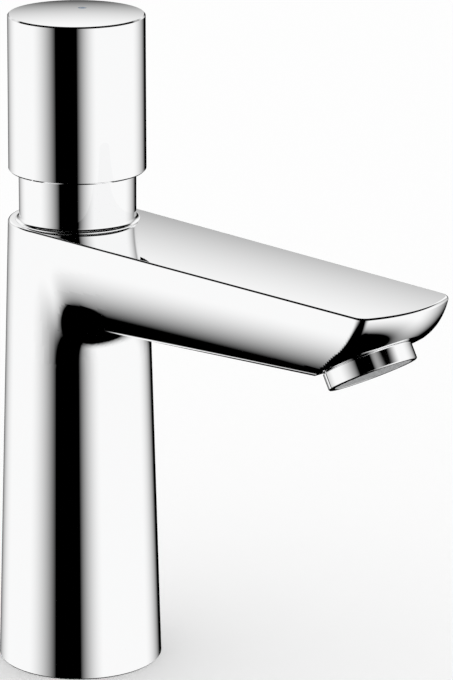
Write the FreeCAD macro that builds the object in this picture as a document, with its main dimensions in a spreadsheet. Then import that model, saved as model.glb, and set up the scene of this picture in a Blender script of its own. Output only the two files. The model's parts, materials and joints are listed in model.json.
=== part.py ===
import FreeCAD, Part

import math
import os
import re

import Sketcher

# A press tap for a basin: a tapered column and its spout in one casting, and a round knob on a neck.
# Millimetres. +Z is up, +X runs along the spout, the origin is the middle of the foot on the deck.
# Pushing the knob down opens a spring-closed valve inside the column. The knob also turns freely.

SIZES = {
    # Column and spout
    "base_radius": 25.0,
    "body_top_radius": 20.87,
    "body_height": 138.3,
    "foot_chamfer": 0.4,
    "top_edge_round": 0.5,
    "spout_reach": 138.44,
    "spout_tip_half_width": 18.19,
    "spout_tip_bulge": 4.79,
    "spout_corner_radius": 4.5,
    "spout_root_depth": 28.5,
    "spout_rise": 3.5,
    "spout_side_radius": 99.0,
    "spout_face_lean": 12.0,
    "spout_face_radius": 22.0,
    "spout_face_end_lean": 50.0,
    "spout_lower_round": 4.0,
    "spout_front_fillet": 9.0,
    # Hollows of the casting
    "foot_bore_radius": 21.4,
    "foot_bore_depth": 7.0,
    "cavity_radius": 19.0,
    "cavity_top_depth": 48.3,
    "web_radius": 14.8,
    "web_depth": 72.3,
    "web_thickness": 12.0,
    "inlet_radius": 4.5,
    "inlet_depth": 10.0,
    "inlet_offset": 6.0,
    "inlet_way_radius": 3.5,
    "stud_offset": 8.5,
    "stud_hole_depth": 9.5,
    "nose_bore_radius": 12.3,
    "chamber_depth": 42.3,
    "chamber_radius": 14.3,
    "head_bore_radius": 16.5,
    "head_bore_depth": 14.0,
    "port_half_width": 7.0,
    "port_depth": 14.0,
    "port_height": 5.5,
    "core_half_width": 12.0,
    "core_start": 20.5,
    "core_end_wall": 3.0,
    "spout_wall": 3.5,
    # Fits
    "static_gap": 0.05,
    "running_gap": 0.05,
    "seal_side_gap": 0.3,
    # Neck
    "neck_radius": 17.53,
    "neck_flare": 1.2,
    "neck_flare_edge": 0.2,
    "neck_rise": 36.0,
    "neck_spigot": 6.3,
    "neck_bore_radius": 13.5,
    "neck_shoulder_radius": 12.5,
    "neck_seal_section": 0.75,
    "guide_height": 22.0,
    "guide_thickness": 6.0,
    "glide_height": 30.0,
    "glide_width": 4.0,
    "glide_depth": 1.2,
    # Cartridge
    "flange_radius": 16.2,
    "flange_thickness": 2.5,
    "nut_thickness": 5.0,
    "nut_bore_radius": 9.0,
    "nut_notch_reach": 12.5,
    "nut_notch_width": 4.0,
    "nut_notch_depth": 2.5,
    "housing_head_radius": 14.0,
    "housing_head_height": 4.0,
    "housing_radius": 12.0,
    "housing_bore_radius": 9.0,
    "housing_head_wall": 4.8,
    "housing_foot_gap": 0.5,
    "upper_seal_section": 0.8,
    "lower_seal_section": 0.9,
    "lower_seal_depth": 47.1,
    "outlet_hole_radius": 2.2,
    "outlet_hole_depth": 34.3,
    "seat_depth": 42.3,
    "seat_thickness": 3.0,
    "seat_hole_radius": 5.5,
    "filter_thickness": 2.0,
    "filter_height": 1.0,
    "filter_hole_radius": 0.9,
    "filter_hole_spacing": 3.0,
    # Moving stem
    "stem_radius": 4.0,
    "stem_rod_radius": 2.8,
    "stem_tail_radius": 1.95,
    "stem_rivet_radius": 3.0,
    "stem_rivet_height": 0.8,
    "stem_journal_radius": 3.0,
    "stem_seal_section": 0.92,
    "piston_radius": 8.6,
    "piston_depth": 23.3,
    "piston_thickness": 4.5,
    "lip_seal_depth": 1.2,
    "lip_seal_width": 2.5,
    "lip_seal_lift": 1.0,
    "disc_radius": 7.6,
    "disc_thickness": 4.5,
    "washer_radius": 7.4,
    "washer_thickness": 2.4,
    "washer_seat_gap": 0.1,
    "spring_radius": 6.8,
    "spring_wire_radius": 0.6,
    "spring_turns": 5.0,
    "spring_end_gap": 0.05,
    # Knob
    "knob_gap": 15.15,
    "knob_height": 47.03,
    "knob_foot_radius": 20.58,
    "knob_top_radius": 20.385,
    "knob_foot_chamfer": 0.5,
    "knob_bore_radius": 18.0,
    "knob_web_below_top": 16.5,
    "knob_web_thickness": 4.0,
    "cap_thickness": 1.5,
    "cap_bevel": 0.45,
    "cap_crown_radius": 355.0,
    "cap_spigot_length": 4.0,
    "cap_spigot_wall": 1.75,
    "mark_radius": 1.2,
    "mark_offset": 5.9,
    "mark_angle": 121.0,
    "mark_depth": 0.9,
    "carrier_flange_radius": 9.0,
    "carrier_flange_thickness": 3.0,
    "carrier_boss_radius": 6.0,
    "knob_washer_radius": 5.5,
    "knob_washer_thickness": 0.8,
    "screw_radius": 1.5,
    "screw_depth": 8.0,
    "screw_head_radius": 2.9,
    "screw_head_height": 2.4,
    "screw_socket_radius": 1.35,
    "screw_socket_depth": 1.4,
    # Aerator
    "aerator_inset": 16.84,
    "aerator_drop": 22.1,
    "aerator_tilt": 30.0,
    "collar_radius": 13.15,
    "collar_length": 5.1,
    "collar_bevel": 0.3,
    "collar_mouth_radius": 11.4,
    "collar_mouth_depth": 1.3,
    "collar_thread_length": 7.0,
    "collar_bore_radius": 10.6,
    "socket_radius": 12.0,
    "socket_depth": 9.2,
    "socket_way_radius": 6.0,
    "socket_way_depth": 6.0,
    "insert_recess": 0.15,
    "insert_face_thickness": 3.5,
    "insert_bore_radius": 9.0,
    "insert_slot_width": 0.9,
    "insert_slot_pitch": 2.0,
    "insert_slots": 9.0,
    "screen_thickness": 0.6,
    "screen_hole_radius": 0.6,
    "screen_hole_spacing": 2.2,
    "aerator_washer_thickness": 1.4,
    "aerator_washer_bore": 7.5,
    # Foot and fixing below the deck
    "base_ring_lift": 0.5,
    "base_ring_bore": 15.5,
    "base_seal_inner": 17.0,
    "base_seal_outer": 20.5,
    "base_seal_thickness": 2.4,
    "deck_thickness": 30.0,
    "stud_radius": 3.95,
    "stud_below_deck": 58.0,
    "horseshoe_radius": 24.0,
    "horseshoe_slot": 8.0,
    "horseshoe_slot_centre": 7.0,
    "horseshoe_hole_gap": 0.25,
    "nut_thread_gap": 0.05,
    "rubber_thickness": 3.0,
    "steel_thickness": 2.0,
    "nut_height": 6.5,
    "nut_across_flats": 13.0,
}

doc = FreeCAD.newDocument("basin_tap")
sheet = doc.addObject("Spreadsheet::Sheet", "sizes")
for row, (alias, number) in enumerate(SIZES.items(), 1):
    sheet.set(f"A{row}", alias.replace("_", " "))
    sheet.set(f"B{row}", str(number))
    sheet.setAlias(f"B{row}", alias)
doc.recompute()

nodes = []


def full(expression):
    """The expression with each size's name pointing into the sheet."""
    return re.sub(r"[a-z_]+", lambda word: "sizes." * (word[0] in SIZES) + word[0], str(expression))


def value(expression):
    """The number that an expression of sizes gives."""
    return float(sheet.evalExpression(full(expression)))


def bind(thing, **formulas):
    """Tie properties of an object to expressions of sizes. A double underscore stands for a dot."""
    for name, expression in formulas.items():
        thing.setExpression(name.replace("__", "."), full(expression))
    return thing


def node(thing, label):
    """Name an object as one finished piece of the tap."""
    thing.Label = label
    nodes.append(thing)
    return thing


def plane(body, role):
    """One of a body's own origin planes."""
    return next(feature for feature in body.Origin.OriginFeatures if feature.Role == role)


def arc_about_axis(start, end):
    """The arc between two places whose centre lies on the upright axis."""
    centre = (end.x**2 + end.y**2 - start.x**2 - start.y**2) / (2 * (end.y - start.y))
    middle = FreeCAD.Vector((start.x + end.x) / 2, (start.y + end.y) / 2 - centre, 0).normalize()
    middle = middle * math.hypot(start.x, start.y - centre) + FreeCAD.Vector(0, centre, 0)
    return Part.Arc(start, middle, end)


def outline_sketch(body, points, crown=None):
    """A closed outline on the XZ plane. Each point is a pair of expressions, radius and height.

    The line that starts at the point numbered crown is an arc with its centre on the axis.
    """
    sketch = body.newObject("Sketcher::SketchObject", "outline")
    sketch.AttachmentSupport = (plane(body, "XZ_Plane"), [""])
    sketch.MapMode = "FlatFace"
    places = [FreeCAD.Vector(value(across), value(height), 0) for across, height in points]
    for line, (start, end) in enumerate(zip(places, places[1:] + places[:1])):
        piece = arc_about_axis(start, end) if line == crown else Part.LineSegment(start, end)
        sketch.addGeometry(piece, False)
    for line in range(len(points)):
        sketch.addConstraint(Sketcher.Constraint("Coincident", line, 2, (line + 1) % len(points), 1))
    for line, formulas in enumerate(points):
        for kind, axis, expression in zip(("DistanceX", "DistanceY"), (-2, -1), formulas):
            if expression == 0:
                sketch.addConstraint(Sketcher.Constraint("PointOnObject", line, 1, axis))
            else:
                number = value(expression)
                index = sketch.addConstraint(Sketcher.Constraint(kind, -1, 1, line, 1, number))
                sketch.setExpression(f"Constraints[{index}]", full(expression))
    if crown is not None:
        sketch.addConstraint(Sketcher.Constraint("PointOnObject", crown, 3, -2))
    return sketch


def turned(name, points, crown=None):
    """A body turned about Z from its outline."""
    body = doc.addObject("PartDesign::Body", name)
    sketch = outline_sketch(body, points, crown)
    turn = body.newObject("PartDesign::Revolution", "turn")
    turn.Profile = sketch
    turn.ReferenceAxis = (sketch, ["V_Axis"])
    turn.Angle = 360
    doc.recompute()
    return body


def rounded(body, radius, at_radius, at_height):
    """Round the one circular edge of a turned body that lies at a radius and a height."""
    for number, edge in enumerate(body.Shape.Edges, 1):
        point = edge.Vertexes[0].Point
        near = abs(math.hypot(point.x, point.y) - value(at_radius)) < 0.001
        if near and abs(point.z - value(at_height)) < 0.001 and edge.BoundBox.ZLength < 0.001:
            base = (body.Tip, [f"Edge{number}"])
            fillet = body.newObject("PartDesign::Fillet", "round")
            fillet.Base = base
            bind(fillet, Radius=radius)
            doc.recompute()
            return body
    raise ValueError(f"{body.Label} has no edge at {at_radius}, {at_height}")


def prism(name, points, half_width):
    """A body made of an outline on the XZ plane, as thick to one side of the plane as to the other."""
    body = doc.addObject("PartDesign::Body", name)
    pad = body.newObject("PartDesign::Pad", "pad")
    pad.Profile = outline_sketch(body, points)
    pad.Midplane = True
    bind(pad, Length=f"2 * ({half_width})")
    body.Tip = pad
    doc.recompute()
    return body


def ring(name, inner, outer, bottom, top):
    """A plain turned ring."""
    return turned(name, [(inner, bottom), (outer, bottom), (outer, top), (inner, top)])


def seal(name, middle, section, height):
    """A round-section sealing ring."""
    torus = doc.addObject("Part::Torus", name)
    return bind(torus, Radius1=middle, Radius2=section, Placement__Base__z=height)


def rod(name, radius, bottom, top, across=0, aside=0):
    """A plain upright cylinder, used as a piece or as a drill."""
    cylinder = doc.addObject("Part::Cylinder", name)
    return bind(
        cylinder,
        Radius=radius,
        Height=f"({top}) - ({bottom})",
        Placement__Base__x=across,
        Placement__Base__y=aside,
        Placement__Base__z=bottom,
    )


def block(name, low, high):
    """A box between two corners, each given as three expressions."""
    box = doc.addObject("Part::Box", name)
    spans = [f"({end}) - ({start})" for start, end in zip(low, high)]
    bind(box, Length=spans[0], Width=spans[1], Height=spans[2])
    return bind(box, Placement__Base__x=low[0], Placement__Base__y=low[1], Placement__Base__z=low[2])


def strainer(name, radius, bottom, top, hole_radius, spacing, rings):
    """A disc with round holes in rings, six more in each ring than in the one inside it."""
    holes = [rod(f"{name}_hole", hole_radius, bottom, top)]
    for number in range(1, rings + 1):
        for step in range(6 * number):
            turn = f"{60 / number} * {step}"
            out = f"{number} * {spacing}"
            across = f"{out} * cos({turn})"
            aside = f"{out} * sin({turn})"
            holes.append(rod(f"{name}_hole", hole_radius, bottom, top, across, aside))
    disc = rod(f"{name}_disc", radius, bottom, top)
    return cut(name, disc, joined(f"{name}_holes", holes))


def joined(name, shapes):
    """Several shapes made one."""
    fuse = doc.addObject("Part::MultiFuse", name)
    fuse.Shapes = shapes
    return fuse


def cut(name, base, tool):
    """One shape less another."""
    result = doc.addObject("Part::Cut", name)
    result.Base = base
    result.Tool = tool
    return result


def on_aerator_axis(thing):
    """Put a piece drawn about Z on the aerator's axis: its zero is the seat under the spout's nose."""
    thing.Placement = FreeCAD.Placement(FreeCAD.Vector(), FreeCAD.Rotation(FreeCAD.Vector(0, 1, 0), 90))
    bind(thing, Placement__Base__x=SEAT_X, Placement__Base__z=SEAT_Z)
    return bind(thing, Placement__Rotation__Angle="180 - aerator_tilt")


def seal_groove(outer, bore, section, height):
    """Four outline points, going up, of the groove that a round seal needs to close on a bore."""
    floor = f"({bore} - 2 * {section} - 2 * static_gap)"
    low = f"({height} - {section} - seal_side_gap)"
    high = f"({height} + {section} + seal_side_gap)"
    return [(outer, low), (floor, low), (floor, high), (outer, high)]


def seal_in_bore(name, bore, section, height):
    """The round seal for such a groove."""
    return node(seal(name, f"{bore} - {section} - static_gap", section, height), name)


# Levels and places that several pieces share

SEAT_X = "(spout_reach - aerator_inset - collar_length * sin(aerator_tilt))"
SEAT_Z = "(body_height - aerator_drop + collar_length * cos(aerator_tilt))"
HEAD_SHOULDER = "(body_height - head_bore_depth)"
FLANGE_TOP = f"({HEAD_SHOULDER} + flange_thickness)"
NUT_TOP = f"({FLANGE_TOP} + nut_thickness)"
SPIGOT_BOTTOM = "(body_height - neck_spigot)"
NECK_TOP = "(body_height + neck_rise)"
NECK_SEAL_HEIGHT = "(body_height - neck_spigot / 2)"
GUIDE_BOTTOM = "(body_height + guide_height)"
GUIDE_TOP = f"({GUIDE_BOTTOM} + guide_thickness)"
GLIDE_BOTTOM = "(body_height + glide_height)"
GLIDE_TOP = f"({GLIDE_BOTTOM} + glide_width)"
WEB_UNDERSIDE = "(body_height - web_depth)"
WEB_FLOOR = f"({WEB_UNDERSIDE} + web_thickness)"
INLET_ROOF = f"({WEB_UNDERSIDE} + inlet_depth)"
CAVITY_TOP = "(body_height - cavity_top_depth)"
CHAMBER_FLOOR = "(body_height - chamber_depth)"
HOUSING_FOOT = f"({WEB_FLOOR} + housing_foot_gap)"
HOUSING_HEAD = f"({HEAD_SHOULDER} - housing_head_height)"
HOUSING_ROOF = f"({FLANGE_TOP} - housing_head_wall)"
UPPER_SEAL_HEIGHT = f"({HEAD_SHOULDER} - housing_head_height / 2)"
STEM_SEAL_HEIGHT = f"({FLANGE_TOP} - housing_head_wall / 2)"
LOWER_SEAL_HEIGHT = "(body_height - lower_seal_depth)"
OUTLET_HOLE_HEIGHT = "(body_height - outlet_hole_depth)"
SEAT_BOTTOM = "(body_height - seat_depth)"
SEAT_TOP = f"({SEAT_BOTTOM} + seat_thickness)"
PISTON_BOTTOM = "(body_height - piston_depth)"
PISTON_TOP = f"({PISTON_BOTTOM} + piston_thickness)"
WASHER_TOP = f"({SEAT_BOTTOM} - washer_seat_gap)"
DISC_TOP = f"({WASHER_TOP} - washer_thickness)"
DISC_BOTTOM = f"({DISC_TOP} - disc_thickness)"
KNOB_FOOT = "(body_height + knob_gap)"
KNOB_RIM = f"({KNOB_FOOT} + knob_height)"
KNOB_WEB_BOTTOM = f"({KNOB_RIM} - knob_web_below_top)"
KNOB_WEB_TOP = f"({KNOB_WEB_BOTTOM} + knob_web_thickness)"
CAP_SEAT = f"({KNOB_RIM} - cap_thickness)"
CARRIER_BOTTOM = f"({KNOB_WEB_BOTTOM} - carrier_flange_thickness)"
STEM_SHOULDER = f"({CARRIER_BOTTOM} - running_gap)"
STEM_TOP = f"({KNOB_WEB_TOP} + running_gap)"
KNOB_WASHER_TOP = f"({STEM_TOP} + knob_washer_thickness)"
CROWN_CENTRE = f"({KNOB_RIM} - sqrt(cap_crown_radius ^ 2 - (knob_top_radius - cap_bevel) ^ 2))"
MARK_TOP = f"({CROWN_CENTRE} + sqrt(cap_crown_radius ^ 2 - mark_offset ^ 2) - static_gap)"
MARK_X = "(mark_offset * cos(mark_angle))"
MARK_Y = "(mark_offset * sin(mark_angle))"
PORT_FLOOR = "(body_height - spout_root_depth + spout_wall + core_start * tan(spout_rise))"


# Outside of the casting


def underside(across):
    """Height of the spout's underside before it turns up into the nose."""
    rise = math.tan(math.radians(value("spout_rise")))
    return value("body_height - spout_root_depth") + across * rise


def nose(across):
    """Height of the slanted nose that the aerator stands square on."""
    return value(SEAT_Z) + (across - value(SEAT_X)) * math.tan(math.radians(value("aerator_tilt")))


def setback(depth):
    """How far the end face lies behind its top edge: an arc, and a straight slope from its end down."""
    radius = value("spout_face_radius")
    start = math.radians(value("spout_face_lean"))
    steepest = math.radians(value("spout_face_end_lean"))
    lean = math.asin(min(math.sin(steepest), math.sin(start) + depth / radius))
    arc_depth = radius * (math.sin(steepest) - math.sin(start))
    return radius * (math.cos(start) - math.cos(lean)) + max(0, depth - arc_depth) * math.tan(steepest)


def spout_outline(height):
    """The spout seen from above at one height, a wire that closes inside the column."""
    depth = value("body_height") - height
    lean = depth**2 / (2 * value("spout_side_radius"))
    half_width = value("spout_tip_half_width") - lean
    root = value("body_top_radius - static_gap") - lean
    bulge = value("spout_tip_bulge")
    tip_radius = (value("spout_tip_half_width") ** 2 + bulge**2) / (2 * bulge)
    tip = value("spout_reach") - setback(depth)
    tip_centre = tip - tip_radius
    # The straight side touches the root circle and aims at the half width under the top's corner
    side_end = value("spout_reach") - bulge
    turn = math.atan2(half_width, side_end) + math.acos(root / math.hypot(side_end, half_width))
    out = FreeCAD.Vector(math.cos(turn), math.sin(turn), 0)
    along = FreeCAD.Vector(out.y, -out.x, 0)
    level = FreeCAD.Vector(0, 0, height)
    # The corner arc touches the side and the tip arc
    corner = value("spout_corner_radius")
    inset = out * (root - corner) - FreeCAD.Vector(tip_centre, 0, 0)
    reach = -inset.dot(along)
    reach += math.sqrt(reach**2 - inset.dot(inset) + (tip_radius - corner) ** 2)
    centre = out * (root - corner) + along * reach
    onto_tip = (centre - FreeCAD.Vector(tip_centre, 0, 0)).normalize()
    middle = (out + onto_tip).normalize()
    points = [out * root, centre + out * corner, centre + middle * corner, centre + onto_tip * corner]
    left = [point + level for point in points]
    right = [FreeCAD.Vector(point.x, -point.y, point.z) for point in left]
    return Part.Wire(
        [
            Part.LineSegment(right[0], right[1]).toShape(),
            Part.Arc(right[1], right[2], right[3]).toShape(),
            Part.Arc(right[3], FreeCAD.Vector(tip, 0, height), left[3]).toShape(),
            Part.Arc(left[3], left[2], left[1]).toShape(),
            Part.LineSegment(left[1], left[0]).toShape(),
            Part.LineSegment(left[0], right[0]).toShape(),
        ]
    )


def samples(edge):
    """Five points spread along an edge."""
    span = edge.LastParameter - edge.FirstParameter
    return [edge.valueAt(edge.FirstParameter + span * step / 4) for step in range(5)]


def all_below(face):
    """A block that fills everything under a slanted face whose height is a function of X."""
    width = value("4 * base_radius")
    back = -width
    far = value("spout_reach") + width
    corners = [(back, face(back)), (far, face(far)), (far, -far), (back, -far)]
    profile = [FreeCAD.Vector(across, -width / 2, z) for across, z in corners]
    return Part.Face(Part.makePolygon(profile + profile[:1])).extrude(FreeCAD.Vector(0, width, 0))


def spout_block():
    """The spout alone: leaning sides, a bowed end face, a rounded underside and the slanted nose."""
    height = value("body_height")
    lowest = underside(0) - 2
    levels = 10
    heights = [height - (height - lowest) * step / (levels - 1) for step in range(levels)]
    block = Part.makeLoft([spout_outline(z) for z in heights], True, False)
    block = block.cut(all_below(underside)).cut(all_below(nose))

    def at_lower_edge(edge):
        points = samples(edge)
        span = max(point.x for point in points) - min(point.x for point in points)
        return span > height / 4 and all(abs(point.z - underside(point.x)) < 0.02 for point in points)

    lower = [edge for edge in block.Edges if at_lower_edge(edge)]
    return block.makeFillet(value("spout_lower_round"), lower)


def casting_outside():
    """Column and spout run together with a large fillet under the spout's root."""
    height = value("body_height")
    foot = value("base_radius")
    top = value("body_top_radius")
    shape = Part.makeCone(foot, top, height).fuse(spout_block())

    def at_root(point):
        on_column = abs(math.hypot(point.x, point.y) - foot + (foot - top) * point.z / height) < 0.02
        return on_column and underside(0) - 1 < point.z < height - 0.1

    roots = [edge for edge in shape.Edges if all(at_root(point) for point in samples(edge)[1:4])]
    shape = shape.makeFillet(value("spout_front_fillet"), roots)
    rims = [edge for edge in shape.Edges if all(height - point.z < 0.001 for point in samples(edge))]
    shape = shape.makeFillet(value("top_edge_round"), rims)
    feet = [edge for edge in shape.Edges if all(point.z < 0.001 for point in samples(edge))]
    shape = shape.makeChamfer(value("foot_chamfer"), feet)
    outside = doc.addObject("Part::Feature", "casting_outside")
    outside.Shape = shape.removeSplitter()
    return outside


# Hollows of the casting


def spout_core():
    """The water way inside the spout, ending in a wall parallel to the aerator's socket."""
    floor = "(body_height - spout_root_depth + spout_wall)"
    roof = "(body_height - spout_wall)"
    depth = "(socket_depth + core_end_wall)"
    end_x = f"({SEAT_X} - {depth} * sin(aerator_tilt))"
    end_z = f"({SEAT_Z} + {depth} * cos(aerator_tilt))"
    # Where the slanted end wall meets the rising floor, and where it meets the roof
    slopes = "(tan(aerator_tilt) - tan(spout_rise))"
    low_x = f"(({floor} - {end_z} + {end_x} * tan(aerator_tilt)) / {slopes})"
    low_z = f"({floor} + {low_x} * tan(spout_rise))"
    high_x = f"({end_x} + ({roof} - {end_z}) / tan(aerator_tilt))"
    outline = [("core_start", PORT_FLOOR), (low_x, low_z), (high_x, roof), ("core_start", roof)]
    return prism("spout_core", outline, "core_half_width")


def column_hollows():
    """The bores on the column's axis, from the foot to the top, and the holes in the cross web."""
    return [
        rod("foot_bore", "foot_bore_radius", 0, "foot_bore_depth"),
        rod("cavity", "cavity_radius", 0, WEB_UNDERSIDE),
        ring("cavity_round_web", "web_radius", "cavity_radius", WEB_UNDERSIDE, CAVITY_TOP),
        rod("inlet_thread", "inlet_radius", WEB_UNDERSIDE, INLET_ROOF, "-inlet_offset"),
        rod("inlet_way", "inlet_way_radius", WEB_UNDERSIDE, WEB_FLOOR, "-inlet_offset"),
        rod(
            "stud_hole",
            "stud_radius + static_gap",
            WEB_UNDERSIDE,
            f"{WEB_UNDERSIDE} + stud_hole_depth",
            "stud_offset",
        ),
        rod("nose_bore", "nose_bore_radius", WEB_FLOOR, CHAMBER_FLOOR),
        rod("chamber", "chamber_radius", CHAMBER_FLOOR, HEAD_SHOULDER),
        rod("head_bore", "head_bore_radius", HEAD_SHOULDER, "body_height"),
    ]


def spout_hollows():
    """The port out of the chamber, the spout's core and the aerator's socket."""
    low = ("core_start - port_depth / 2", "-port_half_width", PORT_FLOOR)
    high = ("core_start + port_depth / 2", "port_half_width", f"{PORT_FLOOR} + port_height")
    way_start = "-(socket_depth + socket_way_depth)"
    return [
        block("port", low, high),
        spout_core(),
        on_aerator_axis(turned("socket", [
            (0, way_start),
            ("socket_way_radius", way_start),
            ("socket_way_radius", "-socket_depth"),
            ("socket_radius", "-socket_depth"),
            ("socket_radius", "base_radius"),
            (0, "base_radius"),
        ])),
    ]


def body_casting():
    """The column and spout with all their hollows."""
    hollows = joined("casting_hollows", column_hollows() + spout_hollows())
    node(cut("body_casting", casting_outside(), hollows), "body_casting")


# Neck


def neck_sleeve():
    """The fixed tube that the knob slides over, with a small flare where it stands on the column."""
    spigot = "(head_bore_radius - static_gap)"
    flare = "(neck_radius + neck_flare)"
    flare_top = "(body_height + neck_flare_edge)"
    glide_floor = "(neck_radius - glide_depth)"
    groove = seal_groove(spigot, "head_bore_radius", "neck_seal_section", NECK_SEAL_HEIGHT)
    sleeve = turned("neck_sleeve", [
        ("neck_shoulder_radius", SPIGOT_BOTTOM),
        (spigot, SPIGOT_BOTTOM),
        *groove,
        (spigot, "body_height"),
        (flare, "body_height"),
        (flare, flare_top),
        ("neck_radius", flare_top),
        ("neck_radius", GLIDE_BOTTOM),
        (glide_floor, GLIDE_BOTTOM),
        (glide_floor, GLIDE_TOP),
        ("neck_radius", GLIDE_TOP),
        ("neck_radius", NECK_TOP),
        ("neck_bore_radius", NECK_TOP),
        ("neck_bore_radius", GUIDE_BOTTOM),
        ("neck_shoulder_radius", GUIDE_BOTTOM),
    ])
    node(rounded(sleeve, "neck_flare - static_gap", "neck_radius", flare_top), "neck_sleeve")


def neck_seal():
    """The seal between the neck and the head bore."""
    seal_in_bore("neck_seal", "head_bore_radius", "neck_seal_section", NECK_SEAL_HEIGHT)


def glide_ring():
    """The ring in the neck's groove that the knob's bore slides on."""
    inner = "neck_radius - glide_depth + static_gap"
    outer = "knob_bore_radius - running_gap"
    node(ring("glide_ring", inner, outer, GLIDE_BOTTOM, f"{GLIDE_TOP} - static_gap"), "glide_ring")


def stem_guide():
    """The bush in the neck that the stem slides in."""
    inner = "stem_radius + running_gap"
    outer = "neck_bore_radius - static_gap"
    node(ring("stem_guide", inner, outer, GUIDE_BOTTOM, GUIDE_TOP), "stem_guide")


# Valve cartridge


def cartridge_housing():
    """The tube that holds the valve, with a flange on top and four outlet holes in its side."""
    stem_hole = "(stem_radius + running_gap)"
    stem_groove = "(stem_radius + 2 * running_gap + 2 * stem_seal_section)"
    groove_low = f"({STEM_SEAL_HEIGHT} - stem_seal_section - seal_side_gap)"
    groove_high = f"({STEM_SEAL_HEIGHT} + stem_seal_section + seal_side_gap)"
    tube = turned("housing_tube", [
        ("housing_bore_radius", HOUSING_FOOT),
        ("housing_radius", HOUSING_FOOT),
        *seal_groove("housing_radius", "nose_bore_radius", "lower_seal_section", LOWER_SEAL_HEIGHT),
        ("housing_radius", HOUSING_HEAD),
        ("housing_head_radius", HOUSING_HEAD),
        *seal_groove("housing_head_radius", "chamber_radius", "upper_seal_section", UPPER_SEAL_HEIGHT),
        ("housing_head_radius", HEAD_SHOULDER),
        ("flange_radius", HEAD_SHOULDER),
        ("flange_radius", FLANGE_TOP),
        (stem_hole, FLANGE_TOP),
        (stem_hole, groove_high),
        (stem_groove, groove_high),
        (stem_groove, groove_low),
        (stem_hole, groove_low),
        (stem_hole, HOUSING_ROOF),
        ("housing_bore_radius", HOUSING_ROOF),
    ])
    drills = [rod("outlet_drill", "outlet_hole_radius", "-flange_radius", "flange_radius") for _ in "xy"]
    for drill, axis in zip(drills, ((0, 1, 0), (1, 0, 0))):
        turn = FreeCAD.Rotation(FreeCAD.Vector(axis), 90)
        drill.Placement = FreeCAD.Placement(FreeCAD.Vector(), turn)
        bind(drill, Placement__Base__z=OUTLET_HOLE_HEIGHT)
    bind(drills[0], Placement__Base__x="-flange_radius")
    bind(drills[1], Placement__Base__y="flange_radius")
    node(cut("cartridge_housing", tube, joined("outlet_drills", drills)), "cartridge_housing")


def cartridge_nut():
    """The ring nut over the housing's flange, with four notches for its spanner."""
    outer = "head_bore_radius - static_gap"
    nut = ring("nut_ring", "nut_bore_radius", outer, FLANGE_TOP, NUT_TOP)
    reach = "nut_notch_reach"
    half = "nut_notch_width / 2"
    floor = f"{NUT_TOP} - nut_notch_depth"
    notches = [
        block("notch_along", (f"-{reach}", f"-{half}", floor), (reach, half, NUT_TOP)),
        block("notch_across", (f"-{half}", f"-{reach}", floor), (half, reach, NUT_TOP)),
    ]
    node(cut("cartridge_nut", nut, joined("notches", notches)), "cartridge_nut")


def cartridge_seals():
    """The seals round the housing's head and nose, and the one round the stem."""
    seal_in_bore("cartridge_seal_upper", "chamber_radius", "upper_seal_section", UPPER_SEAL_HEIGHT)
    seal_in_bore("cartridge_seal_lower", "nose_bore_radius", "lower_seal_section", LOWER_SEAL_HEIGHT)
    middle = "stem_radius + running_gap + stem_seal_section"
    node(seal("stem_seal", middle, "stem_seal_section", STEM_SEAL_HEIGHT), "stem_seal")


def valve_seat():
    """The ring that the valve washer closes on, which also carries the spring."""
    outer = "housing_bore_radius - static_gap"
    node(ring("valve_seat", "seat_hole_radius", outer, SEAT_BOTTOM, SEAT_TOP), "valve_seat")


def inlet_filter():
    """The strainer at the foot of the housing."""
    bottom = f"({HOUSING_FOOT} + filter_height)"
    top = f"({bottom} + filter_thickness)"
    outer = "housing_bore_radius - static_gap"
    hole = "filter_hole_radius"
    node(strainer("inlet_filter", outer, bottom, top, hole, "filter_hole_spacing", 2), "inlet_filter")


# Moving stem


def stem():
    """The rod from the knob to the valve, riveted over under the valve disc."""
    rivet_bottom = f"({DISC_BOTTOM} - stem_rivet_height)"
    hole_floor = f"({STEM_TOP} - screw_depth - running_gap)"
    screw_hole = "(screw_radius + static_gap)"
    rod_body = turned("stem", [
        (0, rivet_bottom),
        ("stem_rivet_radius", rivet_bottom),
        ("stem_rivet_radius", DISC_BOTTOM),
        ("stem_tail_radius", DISC_BOTTOM),
        ("stem_tail_radius", WASHER_TOP),
        ("stem_rod_radius", WASHER_TOP),
        ("stem_rod_radius", PISTON_TOP),
        ("stem_radius", PISTON_TOP),
        ("stem_radius", STEM_SHOULDER),
        ("stem_journal_radius", STEM_SHOULDER),
        ("stem_journal_radius", STEM_TOP),
        (screw_hole, STEM_TOP),
        (screw_hole, hole_floor),
        (0, hole_floor),
    ])
    node(rod_body, "stem")


def piston():
    """The disc that the spring lifts, with a groove for its lip seal."""
    bore = "(stem_rod_radius + static_gap)"
    groove = "(piston_radius - lip_seal_depth)"
    low = f"({PISTON_BOTTOM} + lip_seal_lift)"
    high = f"({low} + lip_seal_width)"
    disc = turned("piston", [
        (bore, PISTON_BOTTOM),
        ("piston_radius", PISTON_BOTTOM),
        ("piston_radius", low),
        (groove, low),
        (groove, high),
        ("piston_radius", high),
        ("piston_radius", PISTON_TOP),
        (bore, PISTON_TOP),
    ])
    node(disc, "piston")


def piston_lip_seal():
    """The piston's seal, running in the housing's bore."""
    inner = "piston_radius - lip_seal_depth + static_gap"
    outer = "housing_bore_radius - running_gap"
    low = f"({PISTON_BOTTOM} + lip_seal_lift)"
    high = f"{low} + lip_seal_width - static_gap"
    node(ring("piston_lip_seal", inner, outer, low, high), "piston_lip_seal")


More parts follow.
